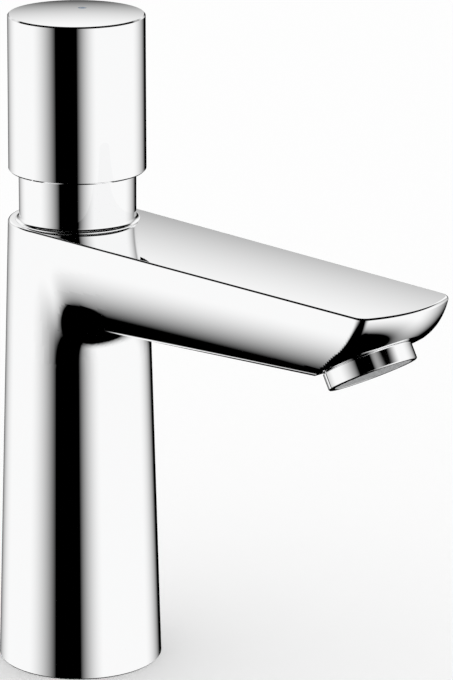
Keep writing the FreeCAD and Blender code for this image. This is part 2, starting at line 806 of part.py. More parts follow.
def return_spring():
    """The coil between the seat and the piston that shuts the valve."""
    end = "(spring_wire_radius + spring_end_gap)"
    height = f"({PISTON_BOTTOM} - {SEAT_TOP} - 2 * {end})"
    helix = doc.addObject("Part::Helix", "spring_line")
    bind(helix, Radius="spring_radius", Height=height, Pitch=f"{height} / spring_turns")
    wire = doc.addObject("Part::Circle", "spring_wire")
    wire.Placement = FreeCAD.Placement(FreeCAD.Vector(), FreeCAD.Rotation(FreeCAD.Vector(1, 0, 0), 90))
    bind(wire, Radius="spring_wire_radius", Placement__Base__x="spring_radius")
    doc.recompute()
    spring = doc.addObject("Part::Sweep", "return_spring")
    spring.Sections = [wire]
    spring.Spine = (helix, [f"Edge{number}" for number in range(1, len(helix.Shape.Edges) + 1)])
    spring.Solid = True
    spring.Frenet = True
    node(bind(spring, Placement__Base__z=f"{SEAT_TOP} + {end}"), "return_spring")


def valve_disc():
    """The disc under the seat."""
    bore = "stem_tail_radius + static_gap"
    node(ring("valve_disc", bore, "disc_radius", DISC_BOTTOM, DISC_TOP), "valve_disc")


def valve_washer():
    """The rubber washer that shuts on the seat."""
    bore = "stem_tail_radius + static_gap"
    node(ring("valve_washer", bore, "washer_radius", DISC_TOP, WASHER_TOP), "valve_washer")


# Knob


def knob_radius(above_foot):
    """The knob's outer radius at a height above its foot. It narrows a little towards the top."""
    return f"(knob_foot_radius - (knob_foot_radius - knob_top_radius) * ({above_foot}) / knob_height)"


def knob_carrier():
    """The bush that turns on the stem's end and carries the knob."""
    bore = "(stem_journal_radius + running_gap)"
    bush = turned("knob_carrier", [
        (bore, CARRIER_BOTTOM),
        ("carrier_flange_radius", CARRIER_BOTTOM),
        ("carrier_flange_radius", KNOB_WEB_BOTTOM),
        ("carrier_boss_radius", KNOB_WEB_BOTTOM),
        ("carrier_boss_radius", KNOB_WEB_TOP),
        (bore, KNOB_WEB_TOP),
    ])
    node(bush, "knob_carrier")


def knob_washer():
    """The washer that keeps the carrier on the stem."""
    bore = "screw_radius + static_gap"
    node(ring("knob_washer", bore, "knob_washer_radius", STEM_TOP, KNOB_WASHER_TOP), "knob_washer")


def knob_screw():
    """The screw into the stem's end, with a hexagon socket."""
    head_top = f"({KNOB_WASHER_TOP} + screw_head_height)"
    shank_end = f"({STEM_TOP} - screw_depth)"
    blank = turned("screw_blank", [
        (0, shank_end),
        ("screw_radius", shank_end),
        ("screw_radius", KNOB_WASHER_TOP),
        ("screw_head_radius", KNOB_WASHER_TOP),
        ("screw_head_radius", head_top),
        (0, head_top),
    ])
    socket = doc.addObject("Part::Prism", "screw_socket")
    socket.Polygon = 6
    bind(socket, Circumradius="screw_socket_radius", Height="screw_socket_depth")
    bind(socket, Placement__Base__z=f"{head_top} - screw_socket_depth")
    node(cut("knob_screw", blank, socket), "knob_screw")


def knob_shell():
    """The knob's skirt, with the cross web that stands on the carrier."""
    web_hole = "(carrier_boss_radius + static_gap)"
    shell = turned("knob_shell", [
        ("knob_bore_radius", KNOB_FOOT),
        ("(knob_foot_radius - knob_foot_chamfer)", KNOB_FOOT),
        (knob_radius("knob_foot_chamfer"), f"({KNOB_FOOT} + knob_foot_chamfer)"),
        (knob_radius("knob_height - cap_thickness"), CAP_SEAT),
        ("knob_bore_radius", CAP_SEAT),
        ("knob_bore_radius", KNOB_WEB_TOP),
        (web_hole, KNOB_WEB_TOP),
        (web_hole, KNOB_WEB_BOTTOM),
        ("knob_bore_radius", KNOB_WEB_BOTTOM),
    ])
    node(shell, "knob_shell")


def knob_cap():
    """The knob's slightly domed lid, with a rim that fits the shell and a pocket for the mark."""
    spigot_end = f"({CAP_SEAT} - cap_spigot_length)"
    spigot = "(knob_bore_radius - static_gap)"
    spigot_inner = f"({spigot} - cap_spigot_wall)"
    outline = [
        (0, CAP_SEAT),
        (spigot_inner, CAP_SEAT),
        (spigot_inner, spigot_end),
        (spigot, spigot_end),
        (spigot, CAP_SEAT),
        (knob_radius("knob_height - cap_thickness"), CAP_SEAT),
        (knob_radius("knob_height - cap_bevel"), f"({KNOB_RIM} - cap_bevel)"),
        ("(knob_top_radius - cap_bevel)", KNOB_RIM),
        (0, f"({CROWN_CENTRE} + cap_crown_radius)"),
    ]
    lid = turned("cap_lid", outline, crown=len(outline) - 2)
    pocket_floor = f"({MARK_TOP} - mark_depth - static_gap)"
    pocket = rod("mark_pocket", "mark_radius + static_gap", pocket_floor, f"{KNOB_RIM} + 1", MARK_X, MARK_Y)
    node(cut("knob_cap", lid, pocket), "knob_cap")


def cold_mark():
    """The small plain round plug in the lid."""
    mark = rod("cold_mark", "mark_radius", f"{MARK_TOP} - mark_depth", MARK_TOP, MARK_X, MARK_Y)
    node(mark, "cold_mark")


# Aerator, drawn about Z and then put on the slanted axis. Its zero is the spout's nose.


def aerator_collar():
    """The ring that screws into the spout, with a step in its mouth that the insert's brim rests on."""
    step = "(collar_length - collar_mouth_depth)"
    collar = turned("aerator_collar", [
        ("collar_bore_radius", "-collar_thread_length"),
        ("(socket_radius - static_gap)", "-collar_thread_length"),
        ("(socket_radius - static_gap)", "static_gap"),
        ("(collar_radius - collar_bevel)", "static_gap"),
        ("collar_radius", "(static_gap + collar_bevel)"),
        ("collar_radius", "(collar_length - collar_bevel)"),
        ("(collar_radius - collar_bevel)", "collar_length"),
        ("collar_mouth_radius", "collar_length"),
        ("collar_mouth_radius", step),
        ("collar_bore_radius", step),
    ])
    node(on_aerator_axis(collar), "aerator_collar")


def aerator_insert():
    """The plastic cup whose slotted face the water leaves through, with a brim round the face."""
    outer = "(collar_bore_radius - static_gap)"
    brim_radius = "(collar_mouth_radius - static_gap)"
    brim = "(collar_length - collar_mouth_depth + static_gap)"
    face = "(collar_length - insert_recess)"
    back = f"({face} - insert_face_thickness)"
    top = "(static_gap - collar_thread_length)"
    cup = turned("insert_cup", [
        (0, back),
        ("insert_bore_radius", back),
        ("insert_bore_radius", top),
        (outer, top),
        (outer, brim),
        (brim_radius, brim),
        (brim_radius, face),
        (0, face),
    ])
    count = int(value("insert_slots"))
    slots = []
    for number in range(count):
        low_x = f"({number - (count - 1) / 2} * insert_slot_pitch - insert_slot_width / 2)"
        low = (low_x, "-insert_bore_radius", back)
        high = (f"{low_x} + insert_slot_width", "insert_bore_radius", face)
        slots.append(block("slot", low, high))
    within = doc.addObject("Part::MultiCommon", "slots_within_bore")
    within.Shapes = [joined("slots", slots), rod("slot_limit", "insert_bore_radius", back, face)]
    node(on_aerator_axis(cut("aerator_insert", cup, within)), "aerator_insert")


def aerator_screen():
    """The fine strainer behind the insert."""
    bottom = "(-collar_thread_length - screen_thickness - static_gap)"
    outer = "socket_radius - 2 * static_gap"
    top = "-(collar_thread_length + static_gap)"
    hole = "screen_hole_radius"
    screen = strainer("aerator_screen", outer, bottom, top, hole, "screen_hole_spacing", 3)
    node(on_aerator_axis(screen), "aerator_screen")


def aerator_washer():
    """The flat seal at the socket's floor."""
    bottom = "static_gap - socket_depth"
    top = "static_gap - socket_depth + aerator_washer_thickness"
    outer = "socket_radius - static_gap"
    washer = ring("aerator_washer", "aerator_washer_bore", outer, bottom, top)
    node(on_aerator_axis(washer), "aerator_washer")


# Foot and the fixing below the deck


def base_ring():
    """The ring pressed into the foot, grooved for the soft seal."""
    groove_roof = "(base_seal_thickness + static_gap)"
    outer = "(foot_bore_radius - static_gap)"
    foot = turned("base_ring", [
        ("base_ring_bore", "base_ring_lift"),
        ("base_seal_inner", "base_ring_lift"),
        ("base_seal_inner", groove_roof),
        ("base_seal_outer", groove_roof),
        ("base_seal_outer", "base_ring_lift"),
        (outer, "base_ring_lift"),
        (outer, "foot_bore_depth"),
        ("base_ring_bore", "foot_bore_depth"),
    ])
    node(foot, "base_ring")


def base_seal():
    """The soft ring between the foot and the deck."""
    inner = "base_seal_inner + static_gap"
    outer = "base_seal_outer - static_gap"
    node(ring("base_seal", inner, outer, 0, "base_seal_thickness"), "base_seal")


def fixing_stud():
    """The threaded rod from the web down through the deck."""
    top = f"{WEB_UNDERSIDE} + stud_hole_depth - static_gap"
    node(rod("fixing_stud", "stud_radius", "-stud_below_deck", top, "stud_offset"), "fixing_stud")


def horseshoe(name, bottom, top):
    """A plate under the deck, open on one side for the hose, with a hole for the stud."""
    plate = rod(f"{name}_plate", "horseshoe_radius", bottom, top)
    hole = rod(f"{name}_hole", "stud_radius + horseshoe_hole_gap", bottom, top, "stud_offset")
    slot_end = rod(f"{name}_slot_end", "horseshoe_slot", bottom, top, "-horseshoe_slot_centre")
    low = ("-horseshoe_radius", "-horseshoe_slot", bottom)
    slot = block(f"{name}_slot", low, ("-horseshoe_slot_centre", "horseshoe_slot", top))
    node(cut(name, plate, joined(f"{name}_openings", [hole, slot_end, slot])), name)


def fixing_nut():
    """The hexagon nut on the stud."""
    top = "(-deck_thickness - rubber_thickness - steel_thickness)"
    bottom = f"({top} - nut_height)"
    hexagon = doc.addObject("Part::Prism", "nut_hexagon")
    hexagon.Polygon = 6
    bind(hexagon, Circumradius="nut_across_flats / (2 * cos(30))", Height="nut_height")
    bind(hexagon, Placement__Base__x="stud_offset", Placement__Base__z=bottom)
    bore = rod("nut_thread", "stud_radius + nut_thread_gap", bottom, top, "stud_offset")
    node(cut("fixing_nut", hexagon, bore), "fixing_nut")


def main():
    """Build every piece, check it and write it out."""
    body_casting()
    neck_sleeve()
    neck_seal()
    glide_ring()
    stem_guide()
    cartridge_housing()
    cartridge_nut()
    cartridge_seals()
    valve_seat()
    inlet_filter()
    stem()
    piston()
    piston_lip_seal()
    return_spring()
    valve_disc()
    valve_washer()
    knob_carrier()
    knob_washer()
    knob_screw()
    knob_shell()
    knob_cap()
    cold_mark()
    aerator_collar()
    aerator_insert()
    aerator_screen()
    aerator_washer()
    base_ring()
    base_seal()
    fixing_stud()
    under_rubber = "-(deck_thickness + rubber_thickness)"
    horseshoe("rubber_horseshoe", under_rubber, "-deck_thickness")
    horseshoe("steel_horseshoe", f"{under_rubber} - steel_thickness", under_rubber)
    fixing_nut()
    doc.recompute()
    bad = [thing.Label for thing in doc.Objects if {"Invalid", "Error"} & set(thing.State)]
    bad += [piece.Label for piece in nodes if piece.Shape.isNull() or not piece.Shape.isValid()]
    if bad:
        raise ValueError(f"not sound: {bad}")
    os.makedirs("parts", exist_ok=True)
    for piece in nodes:
        piece.Shape.exportStep(f"parts/{piece.Label}.step")
    print(f"{len(nodes)} pieces written")


main()
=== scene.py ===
import json
import math

import bmesh
import bpy
import numpy as np
from mathutils import Matrix, Vector


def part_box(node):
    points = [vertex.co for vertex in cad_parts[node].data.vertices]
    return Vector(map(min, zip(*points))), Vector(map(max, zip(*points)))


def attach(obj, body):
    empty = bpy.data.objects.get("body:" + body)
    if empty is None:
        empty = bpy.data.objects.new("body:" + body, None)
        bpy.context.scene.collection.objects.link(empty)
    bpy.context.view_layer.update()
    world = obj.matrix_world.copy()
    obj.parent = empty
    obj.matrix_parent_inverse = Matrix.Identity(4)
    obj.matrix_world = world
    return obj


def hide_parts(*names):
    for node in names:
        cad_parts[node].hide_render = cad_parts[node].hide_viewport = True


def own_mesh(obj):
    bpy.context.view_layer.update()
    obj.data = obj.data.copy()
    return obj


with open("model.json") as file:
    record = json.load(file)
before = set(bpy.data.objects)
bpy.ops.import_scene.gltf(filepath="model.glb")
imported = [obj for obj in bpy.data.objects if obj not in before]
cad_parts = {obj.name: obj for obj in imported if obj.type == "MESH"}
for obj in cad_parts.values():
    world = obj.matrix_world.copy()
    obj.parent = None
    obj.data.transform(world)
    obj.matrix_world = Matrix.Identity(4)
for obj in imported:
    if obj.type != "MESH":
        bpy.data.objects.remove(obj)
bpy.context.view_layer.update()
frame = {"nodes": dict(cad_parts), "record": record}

# A mirror shows every facet, so the bright pieces are rebuilt here as dense meshes from the sizes that the
# solids have. Sizes are in millimetres.

MM = 0.001

# Two sizes differ from the solid's. The foot's radius is 0.04 less, which keeps the dense mesh inside the
# packed one's box. The round along the top edge is 0.8 in place of 0.5, which gives it its dark line.

FOOT_RADIUS = 24.96
TOP_ROUND = 0.8

# The column

TOP_RADIUS = 20.87
HEIGHT = 138.3
FOOT_CHAMFER = 0.4
FOOT_BORE = 21.4
HEAD_BORE = 16.5

# The spout: its outline seen from above, how its faces lean in below the top, and its rounds

ROOT_RADIUS = 20.82
REACH = 138.44
TIP_HALF_WIDTH = 18.19
TIP_BULGE = 4.79
TIP_RADIUS = (TIP_HALF_WIDTH**2 + TIP_BULGE**2) / (2 * TIP_BULGE)
CORNER_RADIUS = 4.5
SIDE_RADIUS = 99.0
DEEPEST = 40.0
FACE_LEAN = math.radians(12.0)
FACE_END_LEAN = math.radians(50.0)
FACE_RADIUS = 22.0
ROOT_DEPTH = 28.5
RISE = math.radians(3.5)
LOWER_ROUND = 4.0
FRONT_FILLET = 9.0

# The slanted cut under the nose, with the aerator's seat and socket

TILT = math.radians(30.0)
SEAT = np.array([119.05, 0.0, 120.617])
OUT_OF_SPOUT = np.array([math.sin(TILT), 0.0, -math.cos(TILT)])
SOCKET_RADIUS = 12.0
SOCKET_MOUTH = 3.0
NOSE_START = REACH / 2

# The shading of the casting: its top's slope and crown, and the evening out round the spout's root

TOP_SLOPE = -math.sin(math.radians(1.6))
TOP_CROWN = 505.0
POLISH_REACH = 16.0
POLISH_FADE = 10.0
POLISH_ROUNDS = 60

# The grid that the casting's skin is wrapped on, and how its points are placed and its faces told apart

GRID_STEP = 0.75
GRID_BACK = -26.0
GRID_FRONT = 140.0
GRID_SIDE = 26.0
UNDER_TOP_ROUND = 0.1
TOP_ROUND_STEPS = 9
SETTLE_ROUNDS = 8
EDGE_REACH = 0.6 * GRID_STEP
LEAST_SINE_SQUARED = 0.05
TOUCH = 0.02
SKIN_DEPTH = 1.0
SAME_DIGITS = 4

# What keeps a division from being by nothing: the least length, and the least squared sine

TINY = 1e-9
PARALLEL = 1e-6


# The casting's surface. Each field gives, for many points, the distance outside it and the way out.


def run_together(first, second, radius, hollow):
    """Two surfaces joined by a rolling-ball round: the hollow of a union, or the round of an edge."""
    sign = -1 if hollow else 1
    (a, out_a), (b, out_b) = first, second
    a, b, out_a, out_b = sign * a, sign * b, sign * out_a, sign * out_b
    cosine = (out_a * out_b).sum(-1)
    sine_squared = np.maximum(1 - cosine**2, PARALLEL)
    share_a = (a + radius - cosine * (b + radius)) / sine_squared
    share_b = (b + radius - cosine * (a + radius)) / sine_squared
    between = (share_a > 0) & (share_b > 0)
    way = share_a[:, None] * out_a + share_b[:, None] * out_b
    length = np.maximum(np.linalg.norm(way, axis=-1), TINY)
    distance = np.where(between, length - radius, np.maximum(a, b))
    nearest = np.where((a > b)[:, None], out_a, out_b)
    out = np.where(between[:, None], way / length[:, None], nearest)
    return sign * distance, sign * out


def plane_field(points, through, out):
    """A flat face."""
    return (points - through) @ out, np.broadcast_to(out, points.shape)


def column_field(points):
    """The tapered column."""
    taper = math.atan((FOOT_RADIUS - TOP_RADIUS) / HEIGHT)
    across = np.maximum(np.hypot(points[:, 0], points[:, 1]), TINY)
    radius = FOOT_RADIUS - points[:, 2] * math.tan(taper)
    out = np.c_[points[:, :2] / across[:, None] * math.cos(taper), np.full(len(points), math.sin(taper))]
    return (across - radius) * math.cos(taper), out


def setback(depth):
    """How far the end face lies behind its top edge: an arc, and a straight slope from its end down."""
    lean = np.minimum(math.sin(FACE_END_LEAN), math.sin(FACE_LEAN) + depth / FACE_RADIUS)
    arc_depth = FACE_RADIUS * (math.sin(FACE_END_LEAN) - math.sin(FACE_LEAN))
    arc = FACE_RADIUS * (math.cos(FACE_LEAN) - np.sqrt(1 - lean**2))
    return arc + np.maximum(0, depth - arc_depth) * math.tan(FACE_END_LEAN)


def way_out_of_side(root, half_width):
    """The way out of the straight side, which touches the root's arc and runs to the tip's half width."""
    side_end = REACH - TIP_BULGE
    turn = np.arctan2(half_width, side_end) + np.arccos(root / np.hypot(side_end, half_width))
    return np.cos(turn), np.sin(turn)


def corner_centre(root, tip_centre, out_x, out_y):
    """The middle of the corner's arc, which touches the straight side and the tip's arc."""
    inset_x = out_x * (root - CORNER_RADIUS) - tip_centre
    inset_y = out_y * (root - CORNER_RADIUS)
    back = inset_y * out_x - inset_x * out_y
    ahead = back + np.sqrt(back**2 - inset_x**2 - inset_y**2 + (TIP_RADIUS - CORNER_RADIUS) ** 2)
    return inset_x + tip_centre + out_y * ahead, inset_y - out_x * ahead


def plan_field(x, y, depth):
    """The spout's outline seen from above, at a depth below the top. Returns distance and way out.

    Each point belongs to the root's arc, the straight side, the corner's arc or the tip's arc.
    """
    depth = np.clip(depth, 0, DEEPEST)
    lean = depth**2 / (2 * SIDE_RADIUS)
    root = ROOT_RADIUS - lean
    tip_centre = REACH - setback(depth) - TIP_RADIUS
    out_x, out_y = way_out_of_side(root, TIP_HALF_WIDTH - lean)
    along_x, along_y = out_y, -out_x
    corner_x, corner_y = corner_centre(root, tip_centre, out_x, out_y)
    side = np.abs(y)
    from_corner_x, from_corner_y = x - corner_x, side - corner_y
    to_tip = (corner_x - tip_centre) * from_corner_y - corner_y * from_corner_x < 0
    past_side = from_corner_x * along_x + from_corner_y * along_y > 0
    behind = x * along_x + side * along_y < 0
    kinds = [behind, ~past_side, ~to_tip]
    centre_x = np.select(kinds, [np.zeros_like(x), x - out_x, corner_x], tip_centre)
    centre_y = np.select(kinds, [np.zeros_like(x), side - out_y, corner_y], 0)
    away = np.maximum(np.hypot(x - centre_x, side - centre_y), TINY)
    straight = x * out_x + side * out_y - root
    distance = np.select(kinds, [away - root, straight, away - CORNER_RADIUS], away - TIP_RADIUS)
    way_x, way_y = (x - centre_x) / away, (side - centre_y) / away
    return distance, np.c_[way_x, way_y * np.where(y < 0, -1, 1)]


def spout_side_field(points):
    """The spout's leaning sides and its bowed end face."""
    x, y, z = points.T
    step = 0.01
    distance, way = plan_field(x, y, HEIGHT - z)
    slope = plan_field(x, y, HEIGHT - z - step)[0] - plan_field(x, y, HEIGHT - z + step)[0]
    out = np.c_[way, slope / (2 * step)]
    length = np.linalg.norm(out, axis=-1)
    return distance / length, out / length[:, None]


def block_field(points):
    """The spout alone, with its sides rounded into its underside, before the nose is cut."""
    under = np.array([math.sin(RISE), 0.0, -math.cos(RISE)])
    root = np.array([0.0, 0.0, HEIGHT - ROOT_DEPTH])
    return run_together(spout_side_field(points), plane_field(points, root, under), LOWER_ROUND, False)


def spout_field(points):
    """The spout alone, with the slanted cut that the aerator stands on."""
    return run_together(block_field(points), plane_field(points, SEAT, OUT_OF_SPOUT), 0, False)


def uncut_field(points):
    """Column and spout run together, without the cut and without their flat top."""
    return run_together(column_field(points), block_field(points), FRONT_FILLET, True)


def casting_field(points):
    """Column and spout run together, without their flat top."""
    return run_together(column_field(points), spout_field(points), FRONT_FILLET, True)


def topped_field(points):
    """The casting with its flat top and the small round along the top edge."""
    top = plane_field(points, np.array([0.0, 0.0, HEIGHT]), np.array([0.0, 0.0, 1.0]))
    return run_together(casting_field(points), top, TOP_ROUND, False)


# Points placed on the surface


def settle(points, field, level=False):
    """Points moved onto the surface of a field. With level set they keep their height."""
    for _ in range(SETTLE_ROUNDS):
        distance, out = field(points)
        if level:
            flat = np.c_[out[:, :2], np.zeros(len(out))]
            out = flat / (flat**2).sum(-1)[:, None]
        points = points - distance[:, None] * out
    return points


def onto_cut_edge(points):
    """Points that are close to the sharp edge round the slanted cut moved onto it."""
    for _ in range(SETTLE_ROUNDS):
        block, out = block_field(points)
        cut, out_of_cut = plane_field(points, SEAT, OUT_OF_SPOUT)
        cosine = (out * out_of_cut).sum(-1)
        sine_squared = np.maximum(1 - cosine**2, LEAST_SINE_SQUARED)
        share = (block - cosine * cut) / sine_squared
        share_of_cut = (cut - cosine * block) / sine_squared
        move = share[:, None] * out + share_of_cut[:, None] * out_of_cut
        near = np.linalg.norm(move, axis=-1) < EDGE_REACH
        points = points - np.where(near[:, None], move, 0)
    return points


def from_axis(points):
    """For points near the nose: how far they are from the aerator's axis, and the way there."""
    apart = points - SEAT
    across = apart - (apart @ OUT_OF_SPOUT)[:, None] * OUT_OF_SPOUT
    away = np.maximum(np.linalg.norm(across, axis=-1), TINY)
    return away, across / away[:, None]


def onto_socket(points):
    """Points moved onto the edge of the aerator's socket, where it cuts the outside."""
    for _ in range(SETTLE_ROUNDS):
        distance, out = casting_field(points)
        points = points - (distance / (out @ OUT_OF_SPOUT))[:, None] * OUT_OF_SPOUT
        away, across = from_axis(points)
        points = points + (SOCKET_RADIUS - away)[:, None] * across
    return points


# Sheets of points and faces


def faces_across(inside, number, cells):
    """Four-sided faces round each edge of a grid that has one end inside and one outside.

    A face joins the numbers of the four cells that share the edge, and looks to the outside.
    """
    faces = []
    for axis in range(3):
        one, two = (axis + 1) % 3, (axis + 2) % 3
        crossed = np.argwhere(inside != np.roll(inside, -1, axis))
        crossed = crossed[(crossed[:, axis] < cells[axis]) & (crossed[:, one] > 0) & (crossed[:, two] > 0)]
        crossed = crossed[(crossed[:, one] < cells[one]) & (crossed[:, two] < cells[two])]
        ring = []
        for shift_one, shift_two in ((1, 1), (0, 1), (0, 0), (1, 0)):
            cell = crossed.copy()
            cell[:, one] -= shift_one
            cell[:, two] -= shift_two
            ring.append(number[tuple(cell.T)])
        ring = np.array(ring).T
        outward = inside[tuple(crossed.T)]
        faces.append(np.where(outward[:, None], ring, ring[:, ::-1]))
    return np.concatenate(faces)


def net(field, low, high, cells):
    """A sheet of four-sided faces wrapped on a field's surface inside a box, open where it meets the box.

    Returns the points, the faces, and for each point the layer of the box that it lies in.
    """
    axes = [np.linspace(a, b, n + 1) for a, b, n in zip(low, high, cells)]
    grid = np.stack(np.meshgrid(*axes, indexing="ij"), -1)
    inside = np.stack([(field(layer.reshape(-1, 3))[0] < 0).reshape(layer.shape[:2]) for layer in grid])
    corners = [
        inside[i : i + cells[0], j : j + cells[1], k : k + cells[2]]
        for i in (0, 1)
        for j in (0, 1)
        for k in (0, 1)
    ]
    mixed = np.any(corners, 0) & ~np.all(corners, 0)
    where = np.argwhere(mixed)
    number = np.full(mixed.shape, -1)
    number[tuple(where.T)] = np.arange(len(where))
    size = (np.array(high) - np.array(low)) / np.array(cells)
    return np.array(low) + (where + 0.5) * size, faces_across(inside, number, cells), where


def open_loops(faces):
    """The open edges of a sheet, as closed chains of point numbers."""
    sides = {(int(a), int(b)) for face in faces for a, b in zip(face, np.roll(face, -1))}
    after = {a: b for a, b in sides if (b, a) not in sides}
    loops = []
    while after:
        chain = [min(after)]
        while chain[-1] in after:
            chain.append(after.pop(chain[-1]))
        loops.append(chain[:-1])
    return loops


def filled(outer, inner, out):
    """A flat sheet between two closed loops of points, facing out."""
    sheet = bmesh.new()
    for loop in (outer, inner):
        corners = [sheet.verts.new(point) for point in loop]
        for first, second in zip(corners, corners[1:] + corners[:1]):
            sheet.edges.new((first, second))
    bmesh.ops.triangle_fill(sheet, use_beauty=True, edges=sheet.edges[:], normal=out)
    sheet.verts.index_update()
    sheet.normal_update()
    faces = [[corner.index for corner in face.verts] for face in sheet.faces]
    turned_over = [face.normal.dot(Vector(out)) < 0 for face in sheet.faces]
    faces = [face[::-1] if wrong else face for face, wrong in zip(faces, turned_over)]
    points = np.array([corner.co[:] for corner in sheet.verts])
    sheet.free()
    return points, faces


def strips(rows):
    """Four-sided faces between closed rows of points that are numbered one row after another."""
    count = len(rows[0])
    faces = []
    for low, high in zip(rows, rows[1:]):
        faces += [[low[i], low[(i + 1) % count], high[(i + 1) % count], high[i]] for i in range(count)]
    return faces


def joined(sheets):
    """Sheets as one set of places, polygons and the way out at each corner of each polygon.

    Points that lie in one place become one, and a face that loses a side by it has fewer corners.
    """
    places = np.concatenate([points for points, _, _ in sheets])
    _, first, same = np.unique(np.round(places, SAME_DIGITS), axis=0, return_index=True, return_inverse=True)
    same = same.ravel().tolist()
    start, polygons, corner_out = 0, [], []
    for points, outs, faces in sheets:
        for face in faces:
            numbers = [same[start + i] for i in face]
            kept = [k for k, number in enumerate(numbers) if number not in numbers[:k]]
            if len(kept) > 2:
                polygons.append([numbers[k] for k in kept])
                corner_out += [outs[face[k]] for k in kept]
        start += len(points)
    return places[first], polygons, np.array(corner_out)


def surface(name, sheets, slot, body, node):
    """A piece made of sheets, each a set of points, the way out at each of its points, and faces."""
    places, polygons, corner_out = joined(sheets)
    mesh = bpy.data.meshes.new(name)
    mesh.from_pydata((places * MM).tolist(), [], polygons)
    mesh.polygons.foreach_set("use_smooth", np.ones(len(polygons), bool))
    mesh.normals_split_custom_set(corner_out.tolist())
    piece = bpy.data.objects.new(name, mesh)
    bpy.context.scene.collection.objects.link(piece)
    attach(piece, body)
    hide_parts(node)
    mesh.materials.append(finishes[slot])
    return piece


# The casting


def casting_skin():
    """The outside of the casting as points and faces."""
    bottom, top = FOOT_CHAMFER, HEIGHT - TOP_ROUND - UNDER_TOP_ROUND
    low, high = (GRID_BACK, -GRID_SIDE, bottom), (GRID_FRONT, GRID_SIDE, top)
    cells = [round((b - a) / GRID_STEP) for a, b in zip(low, high)]
    points, faces, where = net(casting_field, low, high, cells)
    at_top, at_bottom = where[:, 2] == cells[2] - 1, where[:, 2] == 0
    points[at_top, 2] = top
    points[at_bottom, 2] = bottom
    edge = at_top | at_bottom
    points[~edge] = settle(points[~edge], casting_field)
    points[edge] = settle(points[edge], casting_field, level=True)
    at_nose = ~edge & (points[:, 0] > NOSE_START)
    points[at_nose] = onto_cut_edge(points[at_nose])
    return points, faces


def polished(points, outs, faces):
    """The ways out evened round the spout's root, where polishing runs column and spout together."""
    apart = np.maximum(column_field(points)[0], block_field(points)[0])
    depth = HEIGHT - points[:, 2]
    share = np.clip((POLISH_REACH - apart) / POLISH_FADE, 0, 1) * np.clip(depth / POLISH_FADE, 0, 1)
    first, second = faces.ravel(), np.roll(faces, -1, 1).ravel()
    used = (share[first] > 0) | (share[second] > 0)
    first, second = first[used], second[used]
    count = np.bincount(np.r_[first, second], minlength=len(points))
    share = np.where(count > 0, share, 0)
    for _ in range(POLISH_ROUNDS):
        for axis in range(3):
            ahead = np.bincount(first, outs[second, axis], len(points))
            back = np.bincount(second, outs[first, axis], len(points))
            mean = (ahead + back) / np.maximum(count, 1)
            outs[:, axis] += share * (mean - outs[:, axis])
    return outs / np.linalg.norm(outs, axis=-1)[:, None]


def skin_and_cut(points, outs, faces):
    """The casting's skin, and the flat slanted cut that the aerator stands on."""
    above_cut = -(points[faces] - SEAT) @ OUT_OF_SPOUT
    in_cut = (abs(above_cut) < TOUCH).all(1) & (points[faces][:, :, 0].min(1) > NOSE_START)
    cut_outs = np.tile(OUT_OF_SPOUT, (len(points), 1))
    return [(points, outs, faces[~in_cut]), (points, cut_outs, faces[in_cut])]


def casting_points():
    """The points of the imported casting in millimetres."""
    mesh = frame["nodes"]["body_casting"].data
    points = np.zeros(len(mesh.vertices) * 3)
    mesh.vertices.foreach_get("co", points)
    return points.reshape(-1, 3) / MM


def ring_of(radius, height):
    """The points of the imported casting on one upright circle, in order."""
    points = casting_points()
    near = abs(np.hypot(points[:, 0], points[:, 1]) - radius) < TOUCH
    points = points[near & (abs(points[:, 2] - height) < TOUCH)]
    turns = np.round(np.arctan2(points[:, 1], points[:, 0]), SAME_DIGITS)
    return points[np.unique(turns, return_index=True)[1]]


def rounded_top(start, outs):
    """The round along the top edge, and the flat top, shaded as if it were very slightly crowned."""
    level = outs * (1, 1, 0)
    level /= np.linalg.norm(level, axis=-1)[:, None]
    centre = start - TOP_ROUND * level
    centre[:, 2] = HEIGHT - TOP_ROUND
    rows = [start]
    for turn in np.linspace(0, math.pi / 2, TOP_ROUND_STEPS):
        guess = centre + TOP_ROUND * (math.cos(turn) * level + math.sin(turn) * np.array([0, 0, 1]))
        rows.append(settle(guess, topped_field))
    rim = np.concatenate(rows)
    numbers = np.arange(len(rim)).reshape(len(rows), -1)
    edge = (rim, topped_field(rim)[1], strips(numbers[:, ::-1]))
    rows[-1][:, 2] = HEIGHT
    points, faces = filled(rows[-1], ring_of(HEAD_BORE, HEIGHT), (0, 0, 1))
    crown = np.c_[np.full(len(points), TOP_SLOPE), points[:, 1] / TOP_CROWN, np.ones(len(points))]
    return [edge, (points, crown / np.linalg.norm(crown, axis=-1)[:, None], faces)]


def chamfered_foot(start):
    """The small chamfer round the foot, and the ring face that stands on the deck."""
    out = start * (1, 1, 0)
    out /= np.linalg.norm(out, axis=-1)[:, None]
    ground = out * (FOOT_RADIUS - FOOT_CHAMFER)
    slant = (out - np.array([0, 0, 1])) / math.sqrt(2)
    numbers = np.arange(2 * len(start)).reshape(2, -1)
    chamfer = (np.concatenate([start, ground]), np.concatenate([slant, slant]), strips(numbers[:, ::-1]))
    points, faces = filled(ground, ring_of(FOOT_BORE, 0), (0, 0, -1))
    return [chamfer, (points, np.tile([0.0, 0.0, -1.0], (len(points), 1)), faces)]


